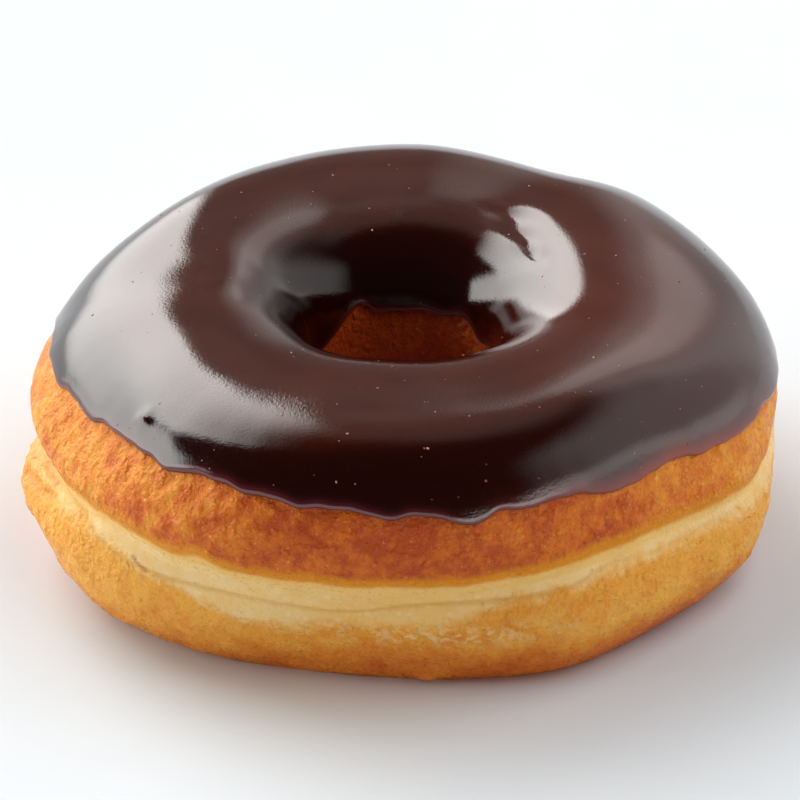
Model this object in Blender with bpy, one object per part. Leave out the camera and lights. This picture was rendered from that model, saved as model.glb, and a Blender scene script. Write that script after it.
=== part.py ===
"""Chocolate iced ring doughnut: a raised, fried dough ring and the coat of icing on its top.

Metres, +Z up. The ring rests on its flat foot at z = 0, and the middle of the whole is over the origin.
Azimuths are in degrees from +X, anticlockwise seen from above, so 270 is the front, which has the drip.
A section of the ring is followed by its turn: 0 at the waist outside, 90 at the crest, 180 in the hole.
"""

import bpy
import bmesh
import numpy as np

# Mean sizes of the dough ring's section
UPPER_RADIUS = 0.0460
LOWER_RADIUS = 0.0457
SPINE_RADIUS = 0.0287
HOLE_RADIUS = 0.0117
CREST_HEIGHT = 0.0331
MIDDLE_HEIGHT = 0.0158
FOOT_CUT = 0.0028

# How square each quarter of the section is: 2 is an ellipse, and more is fuller
OUTER_TOP_FULLNESS = 2.2
OUTER_FOOT_FULLNESS = 2.8
INNER_TOP_FULLNESS = 2.6
INNER_FOOT_FULLNESS = 2.0
LOBE_BLEND = 0.3

# The uneven rise, as slow waves round the ring: how many, how large, and the azimuth of one top
UPPER_WAVES = (
    (1, 0.0016, 92), (2, 0.0016, 40), (3, 0.00095, 1), (4, 0.00085, -3), (5, 0.0005, 27), (6, 0.0007, -11),
)
LOWER_WAVES = ((1, 0.0024, 91), (2, 0.0022, -5), (3, 0.0012, -38), (4, 0.0010, 41), (5, 0.0006, -11))
CREST_WAVES = ((1, 0.0014, -120), (2, 0.0005, 85), (4, 0.0002, 30), (6, 0.0002, 20))
SPINE_WAVES = ((1, 0.0011, 103), (2, 0.0012, -87), (3, 0.0003, 32), (4, 0.00075, 42))
MIDDLE_WAVES = ((1, 0.0007, 187),)
HOLE_WAVES = ((1, 0.0014, 95), (2, 0.0006, -14), (3, 0.0004, 19))
INNER_TOP_WAVES = ((1, 0.15, 217), (2, 0.1, -54))

# Swells and dents, as azimuth, rise and half width in degrees: of the crest's height, its radius and the lobes
CREST_SWELLS = ((60, -0.0004, 10), (84, 0.0003, 9), (112, -0.0003, 12))
SPINE_SWELLS = ((168, -0.0016, 13),)
UPPER_SWELLS = ((60, -0.0006, 10), (84, 0.0005, 9), (168, -0.0009, 14), (47, 0.0010, 9), (16, 0.0003, 12))
LOWER_SWELLS = ((318, -0.0007, 12), (338, 0.0011, 10), (297, 0.0006, 9), (208, 0.0006, 10))

# The pale waist between the lobes is drawn in. It is narrow at the left and widest at the front
WAIST_HEIGHT = 0.0164
WAIST_SHIFTS = ((262, -0.0022, 24), (215, 0.0016, 14), (340, -0.0020, 20))
WAIST_DEPTH = 0.0009
WAIST_HALF_HEIGHT = 0.0016
WAIST_FLARES = ((258, 0.0020, 22),)

# At the left a crease pinches the waist, a knob of the lower lobe stands out below it, and a cheek
# of the upper lobe above it: azimuth, rise, half width in degrees, height and half height
LEFT_FOLDS = (
    (189, -0.0017, 15, 0.0150, 0.0022),
    (187, 0.0018, 10, 0.0094, 0.0034),
    (186, 0.0008, 16, 0.0210, 0.0040),
)
# At the right the upper lobe stands out a little under the icing
RIGHT_FOLD = (352, 0.0003, 14, 0.0212, 0.0034)

# Icing: its thickness, its rounded lips, and the heights of its two edges
ICING_GAP = 0.0003
ICING_THICKNESS = 0.0011
LIP_WIDTH = 0.0013
BEAD_SWELL = 0.0003
OUTER_EDGE_HEIGHT = 0.0242
OUTER_EDGE_WAVES = ((1, 0.0036, 234), (2, 0.0018, 252), (17, 0.0002, 5), (29, 0.00015, 12))
HOLE_EDGE_HEIGHT = 0.0222
HOLE_EDGE_WAVES = ((1, 0.0009, 80), (7, 0.0004, 10))
# Where the icing ran further down, or less far: azimuth, rise of the edge, half width in degrees
OUTER_RUNS = (
    (178, 0.0010, 9), (213, 0.0003, 9), (264, -0.0012, 17), (281, -0.0016, 4.5), (309, -0.0007, 4),
    (326, 0.0007, 14), (351, 0.0006, 7), (60, -0.0012, 9), (118, 0.0009, 10),
)
HOLE_RUNS = (
    (112, 0.0006, 5), (101, -0.0007, 6), (141, -0.0024, 18), (64, -0.0010, 9), (38, -0.0013, 10), (183, -0.0030, 26),
    (8, -0.0020, 22), (250, -0.0008, 12),
)

# Facets
ROUND_STEPS = 96
DOUGH_STEPS = 30
FINE_TURNS = 721
TOP_STEPS = 9
UNDER_STEPS = 17
LIP_STEPS = (0.0, 0.12, 0.45, 1.0)
ANGLE_STEP = 1e-3

# Finishes
CRUST_COLOUR = (0.50, 0.17, 0.035, 1.0)
CRUST_ROUGHNESS = 0.6
CHOCOLATE_COLOUR = (0.035, 0.012, 0.008, 1.0)
CHOCOLATE_ROUGHNESS = 0.15


def wavy(mean, waves, azimuth):
    """A size that changes slowly round the ring."""
    size = np.full_like(azimuth, mean)
    for count, swell, towards in waves:
        size = size + swell * np.cos(count * (azimuth - np.radians(towards)))
    return size


def local(azimuth, centre, half_width):
    """A smooth bump, 1 at an azimuth and fading over a half width, both in degrees."""
    away = (np.degrees(azimuth) - centre + 180.0) % 360.0 - 180.0
    return np.exp(-((away / half_width) ** 2))


def swollen(mean, waves, swells, azimuth):
    """A size that changes slowly round the ring, and swells or dips in places."""
    size = wavy(mean, waves, azimuth)
    for centre, rise, half_width in swells:
        size = size + rise * local(azimuth, centre, half_width)
    return size


def crest_height(azimuth):
    """Height of the dough's crest."""
    return swollen(CREST_HEIGHT, CREST_WAVES, CREST_SWELLS, azimuth)


def inner_top_fullness(azimuth):
    """How square the section is between the crest and the hole."""
    return wavy(INNER_TOP_FULLNESS, INNER_TOP_WAVES, azimuth)


def signed_power(value, power):
    """A power that keeps its sign."""
    return np.sign(value) * np.abs(value) ** power


def fold(azimuth, height, centre, rise, half_width, level, half_height):
    """How far a fold of the crust stands out at an azimuth and a height."""
    return rise * local(azimuth, centre, half_width) * np.exp(-(((height - level) / half_height) ** 2))


def section(azimuth, turn):
    """Radius and height of the dough's surface, before the foot is cut flat."""
    across, up = np.cos(turn), np.sin(turn)
    middle = wavy(MIDDLE_HEIGHT, MIDDLE_WAVES, azimuth)
    upper = swollen(UPPER_RADIUS, UPPER_WAVES, UPPER_SWELLS, azimuth)
    lower = swollen(LOWER_RADIUS, LOWER_WAVES, LOWER_SWELLS, azimuth)
    outer = lower + (upper - lower) * (0.5 + 0.5 * np.tanh(up / LOBE_BLEND))
    hole = wavy(HOLE_RADIUS, HOLE_WAVES, azimuth)
    spine = swollen(SPINE_RADIUS, SPINE_WAVES, SPINE_SWELLS, azimuth)
    half_width = np.where(across >= 0, outer - spine, spine - hole)
    half_height = np.where(up >= 0, crest_height(azimuth) - middle, middle + FOOT_CUT)
    top = np.where(across >= 0, OUTER_TOP_FULLNESS, inner_top_fullness(azimuth))
    foot = np.where(across >= 0, OUTER_FOOT_FULLNESS, INNER_FOOT_FULLNESS)
    fullness = np.where(up >= 0, top, foot)
    radius = spine + half_width * signed_power(across, 2.0 / fullness)
    height = middle + half_height * signed_power(up, 2.0 / fullness)
    waist = swollen(WAIST_HEIGHT, (), WAIST_SHIFTS, azimuth)
    waist_half = swollen(WAIST_HALF_HEIGHT, (), WAIST_FLARES, azimuth)
    relief = -WAIST_DEPTH * np.exp(-(((height - waist) / waist_half) ** 2))
    for crust_fold in (*LEFT_FOLDS, RIGHT_FOLD):
        relief = relief + fold(azimuth, height, *crust_fold)
    return radius + np.clip(across, 0.0, 1.0) * relief, height


def surface(azimuth, turn):
    """Points of the dough's surface."""
    radius, height = section(azimuth, turn)
    return np.stack([radius * np.cos(azimuth), radius * np.sin(azimuth), height], axis=-1)


def outward(azimuth, turn):
    """Unit normals of the dough's surface."""
    along = surface(azimuth + ANGLE_STEP, turn) - surface(azimuth - ANGLE_STEP, turn)
    over = surface(azimuth, turn + ANGLE_STEP) - surface(azimuth, turn - ANGLE_STEP)
    normal = np.cross(along, over)
    return normal / np.linalg.norm(normal, axis=-1, keepdims=True)


def foot_turns(azimuth):
    """The turns at which the section meets z = 0, outside and in the hole."""
    middle = wavy(MIDDLE_HEIGHT, MIDDLE_WAVES, azimuth)
    share = middle / (middle + FOOT_CUT)
    outer = -np.arcsin(share ** (OUTER_FOOT_FULLNESS / 2.0))
    inner = np.pi + np.arcsin(share ** (INNER_FOOT_FULLNESS / 2.0))
    return outer, inner


def icing_turns(azimuth):
    """The turns of the icing's outer edge and of its edge in the hole."""
    middle = wavy(MIDDLE_HEIGHT, MIDDLE_WAVES, azimuth)
    rise = crest_height(azimuth) - middle
    outer_edge = swollen(OUTER_EDGE_HEIGHT, OUTER_EDGE_WAVES, OUTER_RUNS, azimuth)
    hole_edge = swollen(HOLE_EDGE_HEIGHT, HOLE_EDGE_WAVES, HOLE_RUNS, azimuth)
    outer = np.arcsin(((outer_edge - middle) / rise) ** (OUTER_TOP_FULLNESS / 2.0))
    inner = np.pi - np.arcsin(((hole_edge - middle) / rise) ** (inner_top_fullness(azimuth) / 2.0))
    return outer, inner


def evenly_spaced(azimuth, first, last, steps):
    """Turns from first to last that lie evenly along one section's outline, and its length."""
    fine = np.linspace(first, last, FINE_TURNS)
    points = surface(np.full_like(fine, azimuth), fine)
    lengths = np.linalg.norm(np.diff(points, axis=0), axis=1)
    along = np.concatenate([[0.0], np.cumsum(lengths)])
    return np.interp(np.asarray(steps) * along[-1], along, fine), along[-1]


def dough_section(azimuth):
    """One section of the dough, from its foot outside, over the crest, to its foot in the hole."""
    first, last = foot_turns(azimuth)
    turns, _ = evenly_spaced(azimuth, first, last, np.linspace(0.0, 1.0, DOUGH_STEPS))
    return surface(np.full_like(turns, azimuth), turns)


def icing_section(azimuth):
    """One closed section of the icing: its top with two round lips, then its underside back."""
    first, last = icing_turns(azimuth)
    _, width = evenly_spaced(azimuth, first, last, [0.0])
    lip = np.array(LIP_STEPS) * LIP_WIDTH / width
    middle = np.linspace(lip[-1], 1.0 - lip[-1], TOP_STEPS)[1:-1]
    steps = np.concatenate([lip, middle, 1.0 - lip[::-1]])
    top_turns, _ = evenly_spaced(azimuth, first, last, steps)
    from_edge = np.minimum(steps, 1.0 - steps) * width / LIP_WIDTH
    round_lip = np.sqrt(1.0 - (1.0 - np.clip(from_edge, 0.0, 1.0)) ** 2)
    bead = BEAD_SWELL * np.exp(-((from_edge - 1.0) ** 2))
    thickness = ICING_GAP + (ICING_THICKNESS + bead) * round_lip
    under_steps = np.linspace(1.0, 0.0, UNDER_STEPS)[1:-1]
    under_turns, _ = evenly_spaced(azimuth, first, last, under_steps)
    turns = np.concatenate([top_turns, under_turns])
    lift = np.concatenate([thickness, np.full_like(under_turns, ICING_GAP)])
    round_ring = np.full_like(turns, azimuth)
    return surface(round_ring, turns) + outward(round_ring, turns) * lift[:, None]


def skin(name, sections, material):
    """One closed solid from sections that follow each other round the ring."""
    bm = bmesh.new()
    loops = [[bm.verts.new(point) for point in points] for points in sections]
    for near, far in zip(loops, loops[1:] + loops[:1]):
        for i in range(len(near)):
            bm.faces.new((near[i - 1], far[i - 1], far[i], near[i]))
    bmesh.ops.recalc_face_normals(bm, faces=bm.faces[:])
    mesh = bpy.data.meshes.new(name)
    bm.to_mesh(mesh)
    bm.free()
    mesh.shade_smooth()
    mesh.materials.append(material)
    piece = bpy.data.objects.new(name, mesh)
    bpy.context.scene.collection.objects.link(piece)
    return piece


def food_material(name, colour, roughness):
    """A plain food material."""
    material = bpy.data.materials.new(name)
    material.use_nodes = True
    shader = material.node_tree.nodes["Principled BSDF"]
    shader.inputs["Base Color"].default_value = colour
    shader.inputs["Roughness"].default_value = roughness
    shader.inputs["Metallic"].default_value = 0.0
    return material


def centre_over_origin(pieces):
    """Moves the meshes so that the middle of their box is over the origin."""
    points = np.array([vertex.co for piece in pieces for vertex in piece.data.vertices])
    middle = (points.min(axis=0) + points.max(axis=0)) / 2.0
    for piece in pieces:
        for vertex in piece.data.vertices:
            vertex.co.x -= middle[0]
            vertex.co.y -= middle[1]


def main():
    """Builds the doughnut."""
    for old in list(bpy.data.objects):
        bpy.data.objects.remove(old, do_unlink=True)
    azimuths = np.linspace(0.0, 2.0 * np.pi, ROUND_STEPS, endpoint=False)
    crust = food_material("fried_crust", CRUST_COLOUR, CRUST_ROUGHNESS)
    chocolate = food_material("chocolate_icing", CHOCOLATE_COLOUR, CHOCOLATE_ROUGHNESS)
    dough = skin("dough", [dough_section(azimuth) for azimuth in azimuths], crust)
    icing = skin("icing", [icing_section(azimuth) for azimuth in azimuths], chocolate)
    centre_over_origin([dough, icing])


main()
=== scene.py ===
"""The looks of a chocolate iced ring doughnut: its fried crust, pale waist, glossy icing, table and light.

Metres, +Z up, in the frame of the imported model. Azimuths are in degrees from +X, anticlockwise seen from
above, so 270 is the front. A section of the ring is followed by its turn: 0 at the waist outside, 90 at
the crest, 180 in the hole.
"""

import logging
import math
from collections.abc import Callable
from dataclasses import dataclass
from enum import Enum
from functools import partial, reduce
from typing import NamedTuple

import bpy
import numpy as np
from mathutils import Matrix, Vector, noise

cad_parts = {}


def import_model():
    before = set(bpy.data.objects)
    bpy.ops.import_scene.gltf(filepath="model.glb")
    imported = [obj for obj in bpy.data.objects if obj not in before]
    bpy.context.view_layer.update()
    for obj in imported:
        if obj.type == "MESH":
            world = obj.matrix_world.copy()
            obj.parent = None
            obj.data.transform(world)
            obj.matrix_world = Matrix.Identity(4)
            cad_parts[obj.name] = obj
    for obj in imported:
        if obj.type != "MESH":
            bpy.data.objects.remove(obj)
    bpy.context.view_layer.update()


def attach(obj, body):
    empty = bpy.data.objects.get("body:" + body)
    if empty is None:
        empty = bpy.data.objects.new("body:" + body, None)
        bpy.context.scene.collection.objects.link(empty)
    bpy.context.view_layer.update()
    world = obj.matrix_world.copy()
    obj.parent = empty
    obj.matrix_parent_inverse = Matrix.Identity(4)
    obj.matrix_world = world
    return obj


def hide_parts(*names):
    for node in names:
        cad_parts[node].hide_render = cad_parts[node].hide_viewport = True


log = logging.getLogger("doughnut")

MM = 0.001
SEAM_GAP = 1e-7
FAR = 10.0

# The ring's own axis stands a little off the middle of its uneven footprint
RING_AXIS = (0.0, -0.00242, 0.0)


class Wave(NamedTuple):
    """A slow wave round the ring."""

    count: int
    swell: float
    towards: float


class Swell(NamedTuple):
    """A rise or a dip at one azimuth."""

    azimuth: float
    rise: float
    half_width: float


class Fold(NamedTuple):
    """A fold, a lump or a stain of the crust at one azimuth and one height."""

    azimuth: float
    rise: float
    half_width: float
    level: float
    half_height: float


class Mound(NamedTuple):
    """A low mound of the icing, or a hollow, at one azimuth and one turn, in degrees."""

    azimuth: float
    turn: float
    rise: float
    half_width: float
    half_turn: float


class Seam(NamedTuple):
    """A fine groove or ridge of the crust, along places given by azimuth in degrees and height in mm."""

    places: tuple[tuple[float, float], ...]
    rise: float
    half_width: float


class Grain(NamedTuple):
    """Uneven patches: how many for each metre, their detail, and the noise that counts as 0 and as 1."""

    scale: float
    detail: float
    low: float
    high: float


class Dots(NamedTuple):
    """Round dots: cells for each metre, a dot's radius in cells, and the share of the cells that have one."""

    scale: float
    radius: float
    share: float


def wavy(mean: float, waves: tuple[Wave, ...], azimuth: np.ndarray) -> np.ndarray:
    """Works out a size that changes slowly round the ring.

    Args:
        mean: The size without its waves.
        waves: The waves.
        azimuth: Azimuths in radians.

    Returns:
        The size at each azimuth.
    """
    size = np.full_like(azimuth, mean)
    for wave in waves:
        size = size + wave.swell * np.cos(wave.count * (azimuth - math.radians(wave.towards)))
    return size


def fading(away: np.ndarray) -> np.ndarray:
    """Gives 1 at no distance, and less away from it."""
    return np.exp(-(away**2))


def local(azimuth: np.ndarray, centre: float, half_width: float) -> np.ndarray:
    """Works out a smooth bump.

    Args:
        azimuth: Azimuths in radians.
        centre: The azimuth of the bump's top, in degrees.
        half_width: How far from it the bump fades, in degrees.

    Returns:
        1 at the top, and less away from it.
    """
    away = (np.degrees(azimuth) - centre + 180.0) % 360.0 - 180.0
    return fading(away / half_width)


def swollen(mean: float, waves: tuple[Wave, ...], swells: tuple[Swell, ...], azimuth: np.ndarray) -> np.ndarray:
    """Works out a size that changes slowly round the ring, and swells or dips in places.

    Args:
        mean: The size without its waves and swells.
        waves: The waves.
        swells: The swells and dips.
        azimuth: Azimuths in radians.

    Returns:
        The size at each azimuth.
    """
    size = wavy(mean, waves, azimuth)
    for swell in swells:
        size = size + swell.rise * local(azimuth, swell.azimuth, swell.half_width)
    return size


def spot(azimuth: np.ndarray, height: np.ndarray, fold: Fold) -> np.ndarray:
    """Gives 1 at the middle of a fold, and less away from it."""
    return local(azimuth, fold.azimuth, fold.half_width) * fading((height - fold.level) / fold.half_height)


def somewhere(azimuth: np.ndarray, least: float, places: tuple[Swell, ...]) -> np.ndarray:
    """Works out how strong something is that shows in some places round the ring.

    Args:
        azimuth: Azimuths in radians.
        least: How strong it is elsewhere.
        places: Where it is at its full strength.

    Returns:
        The strength at each azimuth, from least to 1.
    """
    return least + (1.0 - least) * swollen(0.0, (), places, azimuth).clip(0.0, 1.0)


def signed_power(value: np.ndarray, power: np.ndarray) -> np.ndarray:
    """Raises to a power and keeps the sign."""
    return np.sign(value) * np.abs(value) ** power


def smooth_step(value: np.ndarray, low: float, high: float) -> np.ndarray:
    """Rises smoothly from 0 at low to 1 at high."""
    share = np.clip((value - low) / (high - low), 0.0, 1.0)
    return share * share * (3.0 - 2.0 * share)


@dataclass(frozen=True)
class RingShape:
    """The uneven form of the dough ring, with the sizes that the solid has."""

    upper_radius: float = 0.0460
    lower_radius: float = 0.0457
    spine_radius: float = 0.0287
    hole_radius: float = 0.0117
    crest: float = 0.0331
    middle: float = 0.0158
    foot_cut: float = 0.0028
    outer_top_fullness: float = 2.2
    outer_foot_fullness: float = 2.8
    inner_top_fullness: float = 2.6
    inner_foot_fullness: float = 2.0
    lobe_blend: float = 0.3
    upper_waves: tuple[Wave, ...] = (
        Wave(1, 0.0016, 92), Wave(2, 0.0016, 40), Wave(3, 0.00095, 1), Wave(4, 0.00085, -3), Wave(5, 0.0005, 27),
        Wave(6, 0.0007, -11),
    )
    lower_waves: tuple[Wave, ...] = (
        Wave(1, 0.0024, 91), Wave(2, 0.0022, -5), Wave(3, 0.0012, -38), Wave(4, 0.0010, 41), Wave(5, 0.0006, -11),
    )
    crest_waves: tuple[Wave, ...] = (
        Wave(1, 0.0014, -120), Wave(2, 0.0005, 85), Wave(4, 0.0002, 30), Wave(6, 0.0002, 20),
    )
    spine_waves: tuple[Wave, ...] = (
        Wave(1, 0.0011, 103), Wave(2, 0.0012, -87), Wave(3, 0.0003, 32), Wave(4, 0.00075, 42),
    )
    spine_swells: tuple[Swell, ...] = (Swell(168, -0.0016, 13),)
    middle_waves: tuple[Wave, ...] = (Wave(1, 0.0007, 187),)
    hole_waves: tuple[Wave, ...] = (Wave(1, 0.0014, 95), Wave(2, 0.0006, -14), Wave(3, 0.0004, 19))
    inner_top_waves: tuple[Wave, ...] = (Wave(1, 0.15, 217), Wave(2, 0.1, -54))
    crest_swells: tuple[Swell, ...] = (Swell(60, -0.0004, 10), Swell(84, 0.0003, 9), Swell(112, -0.0003, 12))
    upper_swells: tuple[Swell, ...] = (
        Swell(60, -0.0006, 10), Swell(84, 0.0005, 9), Swell(168, -0.0009, 14), Swell(47, 0.0010, 9),
        Swell(16, 0.0003, 12),
    )
    lower_swells: tuple[Swell, ...] = (
        Swell(318, -0.0007, 12), Swell(338, 0.0011, 10), Swell(297, 0.0006, 9), Swell(208, 0.0006, 10),
    )
    waist: float = 0.0164
    waist_shifts: tuple[Swell, ...] = (Swell(262, -0.0022, 24), Swell(215, 0.0016, 14), Swell(340, -0.0020, 20))
    waist_depth: float = 0.0009
    waist_half: float = 0.0016
    waist_flares: tuple[Swell, ...] = (Swell(258, 0.0020, 22),)
    folds: tuple[Fold, ...] = (
        Fold(189, -0.0017, 15, 0.0150, 0.0022),
        Fold(187, 0.0018, 10, 0.0094, 0.0034),
        Fold(186, 0.0008, 16, 0.0210, 0.0040),
        Fold(352, 0.0003, 14, 0.0212, 0.0034),
    )
    fine_turns: int = 721
    angle_step: float = 1e-3

    def crest_at(self, azimuth: np.ndarray) -> np.ndarray:
        """Gives the height of the dough's crest."""
        return swollen(self.crest, self.crest_waves, self.crest_swells, azimuth)

    def middle_at(self, azimuth: np.ndarray) -> np.ndarray:
        """Gives the height at which the section is widest."""
        return wavy(self.middle, self.middle_waves, azimuth)

    def waist_at(self, azimuth: np.ndarray) -> np.ndarray:
        """Gives the height of the middle of the waist."""
        return swollen(self.waist, (), self.waist_shifts, azimuth)

    def inner_top_at(self, azimuth: np.ndarray) -> np.ndarray:
        """Gives how square the section is between the crest and the hole."""
        return wavy(self.inner_top_fullness, self.inner_top_waves, azimuth)

    def section(self, azimuth: np.ndarray, turn: np.ndarray) -> tuple[np.ndarray, np.ndarray]:
        """Works out the dough's surface in a section, before the foot is cut flat.

        Args:
            azimuth: Azimuths in radians.
            turn: Turns round the section, in radians.

        Returns:
            The radius and the height of each point.
        """
        across, up = np.cos(turn), np.sin(turn)
        middle = self.middle_at(azimuth)
        upper = swollen(self.upper_radius, self.upper_waves, self.upper_swells, azimuth)
        lower = swollen(self.lower_radius, self.lower_waves, self.lower_swells, azimuth)
        outer = lower + (upper - lower) * (0.5 + 0.5 * np.tanh(up / self.lobe_blend))
        hole = wavy(self.hole_radius, self.hole_waves, azimuth)
        spine = swollen(self.spine_radius, self.spine_waves, self.spine_swells, azimuth)
        half_width = np.where(across >= 0, outer - spine, spine - hole)
        half_height = np.where(up >= 0, self.crest_at(azimuth) - middle, middle + self.foot_cut)
        top = np.where(across >= 0, self.outer_top_fullness, self.inner_top_at(azimuth))
        foot = np.where(across >= 0, self.outer_foot_fullness, self.inner_foot_fullness)
        fullness = np.where(up >= 0, top, foot)
        radius = spine + half_width * signed_power(across, 2.0 / fullness)
        height = middle + half_height * signed_power(up, 2.0 / fullness)
        half = swollen(self.waist_half, (), self.waist_flares, azimuth)
        relief = -self.waist_depth * fading((height - self.waist_at(azimuth)) / half)
        for fold in self.folds:
            relief = relief + fold.rise * spot(azimuth, height, fold)
        return radius + np.clip(across, 0.0, 1.0) * relief, height

    def surface(self, azimuth: np.ndarray, turn: np.ndarray) -> np.ndarray:
        """Gives points of the dough's surface round the ring's own axis."""
        radius, height = self.section(azimuth, turn)
        return np.stack([radius * np.cos(azimuth), radius * np.sin(azimuth), height], axis=-1)

    def outward(self, azimuth: np.ndarray, turn: np.ndarray) -> np.ndarray:
        """Works out which way the dough's surface faces.

        Args:
            azimuth: Azimuths in radians.
            turn: Turns round the section, in radians.

        Returns:
            The unit normals.
        """
        step = self.angle_step
        along = self.surface(azimuth + step, turn) - self.surface(azimuth - step, turn)
        over = self.surface(azimuth, turn + step) - self.surface(azimuth, turn - step)
        normal = np.cross(along, over)
        return normal / np.linalg.norm(normal, axis=-1, keepdims=True)

    def foot_turns(self, azimuth: np.ndarray) -> tuple[np.ndarray, np.ndarray]:
        """Works out where the section meets the table.

        Args:
            azimuth: Azimuths in radians.

        Returns:
            The turns outside and those in the hole.
        """
        middle = self.middle_at(azimuth)
        share = middle / (middle + self.foot_cut)
        outer = -np.arcsin(share ** (self.outer_foot_fullness / 2.0))
        inner = np.pi + np.arcsin(share ** (self.inner_foot_fullness / 2.0))
        return outer, inner

    def even_turns(
        self, azimuth: float, first: float, last: float, shares: np.ndarray
    ) -> tuple[np.ndarray, float]:
        """Works out turns that lie at given shares of one section's outline.

        Args:
            azimuth: The section's azimuth in radians.
            first: The turn at which the outline starts.
            last: The turn at which it ends.
            shares: Shares of the outline's length, from 0 to 1.

        Returns:
            The turns, and the outline's length.
        """
        fine = np.linspace(first, last, self.fine_turns)
        points = self.surface(np.full_like(fine, azimuth), fine)
        lengths = np.linalg.norm(np.diff(points, axis=0), axis=1)
        along = np.concatenate([[0.0], np.cumsum(lengths)])
        return np.interp(shares * along[-1], along, fine), float(along[-1])


@dataclass(frozen=True)
class IcingEdges:
    """Where the icing ends, outside and in the hole."""

    outer: float = 0.0242
    outer_waves: tuple[Wave, ...] = (Wave(1, 0.0036, 234), Wave(2, 0.0018, 252))
    outer_ripples: tuple[Wave, ...] = (
        Wave(17, 0.0002, 5), Wave(29, 0.00015, 12), Wave(47, 0.00008, 3), Wave(71, 0.00005, 2),
    )
    outer_runs: tuple[Swell, ...] = (
        Swell(178, 0.0010, 9), Swell(213, 0.0003, 9), Swell(264, -0.0012, 17), Swell(281, -0.0016, 4.5),
        Swell(309, -0.0007, 4), Swell(326, 0.0007, 14), Swell(351, 0.0006, 7), Swell(60, -0.0012, 9),
        Swell(118, 0.0009, 10),
    )
    hole: float = 0.0222
    hole_waves: tuple[Wave, ...] = (Wave(1, 0.0009, 80), Wave(7, 0.0004, 10), Wave(19, 0.00008, 4))
    hole_runs: tuple[Swell, ...] = (
        Swell(112, 0.0006, 5), Swell(101, -0.0007, 6), Swell(141, -0.0024, 18), Swell(64, -0.0010, 9),
        Swell(38, -0.0013, 10), Swell(183, -0.0030, 26), Swell(8, -0.0020, 22), Swell(250, -0.0008, 12),
    )

    def turns(self, shape: RingShape, azimuth: np.ndarray) -> tuple[np.ndarray, np.ndarray]:
        """Works out the turns of both edges.

        Args:
            shape: The dough ring that the icing lies on.
            azimuth: Azimuths in radians.

        Returns:
            The turns of the outer edge and of the edge in the hole.
        """
        middle = shape.middle_at(azimuth)
        rise = shape.crest_at(azimuth) - middle
        outer_height = swollen(self.outer, self.outer_waves + self.outer_ripples, self.outer_runs, azimuth)
        hole_height = swollen(self.hole, self.hole_waves, self.hole_runs, azimuth)
        outer = np.arcsin(((outer_height - middle) / rise) ** (shape.outer_top_fullness / 2.0))
        hole = np.pi - np.arcsin(((hole_height - middle) / rise) ** (shape.inner_top_at(azimuth) / 2.0))
        return outer, hole


# What a node puts out, and what it takes in: a value, or what another node puts out
Output = bpy.types.NodeSocket
Input = Output | float | tuple


class Socket(Enum):
    """The kinds of socket that a node group has."""

    NUMBER = "NodeSocketFloat"
    VECTOR = "NodeSocketVector"


class Graph:
    """Adds and joins the nodes of one node tree."""

    def __init__(self, tree: bpy.types.NodeTree) -> None:
        """Takes the tree that the nodes go in."""
        self.tree = tree

    def feed(self, made: bpy.types.Node, inputs: dict) -> None:
        """Gives a node's inputs their values, or joins them to output sockets.

        Args:
            made: The node.
            inputs: Values or output sockets, by the input's name or number.
        """
        for name, value in inputs.items():
            if isinstance(value, Output):
                self.tree.links.new(value, made.inputs[name])
            else:
                made.inputs[name].default_value = value

    def node(self, kind: str, inputs: dict, **settings: object) -> bpy.types.Node:
        """Adds a node.

        Args:
            kind: The node's type.
            inputs: Values or output sockets for its inputs, by name or number.
            **settings: Properties of the node.

        Returns:
            The node.
        """
        made = self.tree.nodes.new(kind)
        for name, value in settings.items():
            setattr(made, name, value)
        self.feed(made, inputs)
        return made

    def math(self, operation: str, *numbers: Input, clamp: bool = False) -> Output:
        """Joins one or two numbers by one operation."""
        inputs = dict(enumerate(numbers))
        return self.node("ShaderNodeMath", inputs, operation=operation, use_clamp=clamp).outputs[0]

    def plus(self, *terms: Input) -> Output:
        """Adds numbers."""
        return reduce(partial(self.math, "ADD"), terms)

    def minus(self, first: Input, second: Input) -> Output:
        """Takes the second number from the first."""
        return self.math("SUBTRACT", first, second)

    def times(self, *factors: Input) -> Output:
        """Multiplies numbers."""
        return reduce(partial(self.math, "MULTIPLY"), factors)

    def spread(self, value: Input, low: Input, high: Input) -> Output:
        """Maps a number smoothly to 0 at low and 1 at high."""
        inputs = {"Value": value, "From Min": low, "From Max": high}
        return self.node("ShaderNodeMapRange", inputs, interpolation_type="SMOOTHSTEP").outputs["Result"]

    def between(self, share: Input, first: float, last: float) -> Output:
        """Maps 0 to the first number and 1 to the last."""
        inputs = {"Value": share, "To Min": first, "To Max": last}
        return self.node("ShaderNodeMapRange", inputs).outputs["Result"]

    def mix(self, share: Input, first: Input, second: Input) -> Output:
        """Mixes two colours."""
        return self.node("ShaderNodeMix", {0: share, 6: first, 7: second}, data_type="RGBA").outputs[2]

    def ramp(self, value: Input, stops: tuple[tuple[float, tuple], ...]) -> Output:
        """Turns a number into a colour.

        Args:
            value: The number, from 0 to 1.
            stops: The places of the colours, and the colours.

        Returns:
            The colour.
        """
        made = self.node("ShaderNodeValToRGB", {"Fac": value})
        elements = made.color_ramp.elements
        while len(elements) < len(stops):
            elements.new(0.5)
        for element, (place, shade) in zip(elements, stops):
            element.position = place
            element.color = shade
        return made.outputs["Color"]

    def bumps(self, height: Input, depth: float) -> Output:
        """Turns a height into bumps, which are as deep as given, in metres, where the height is 1."""
        return self.node("ShaderNodeBump", {"Height": height, "Distance": depth}).outputs["Normal"]


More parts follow.
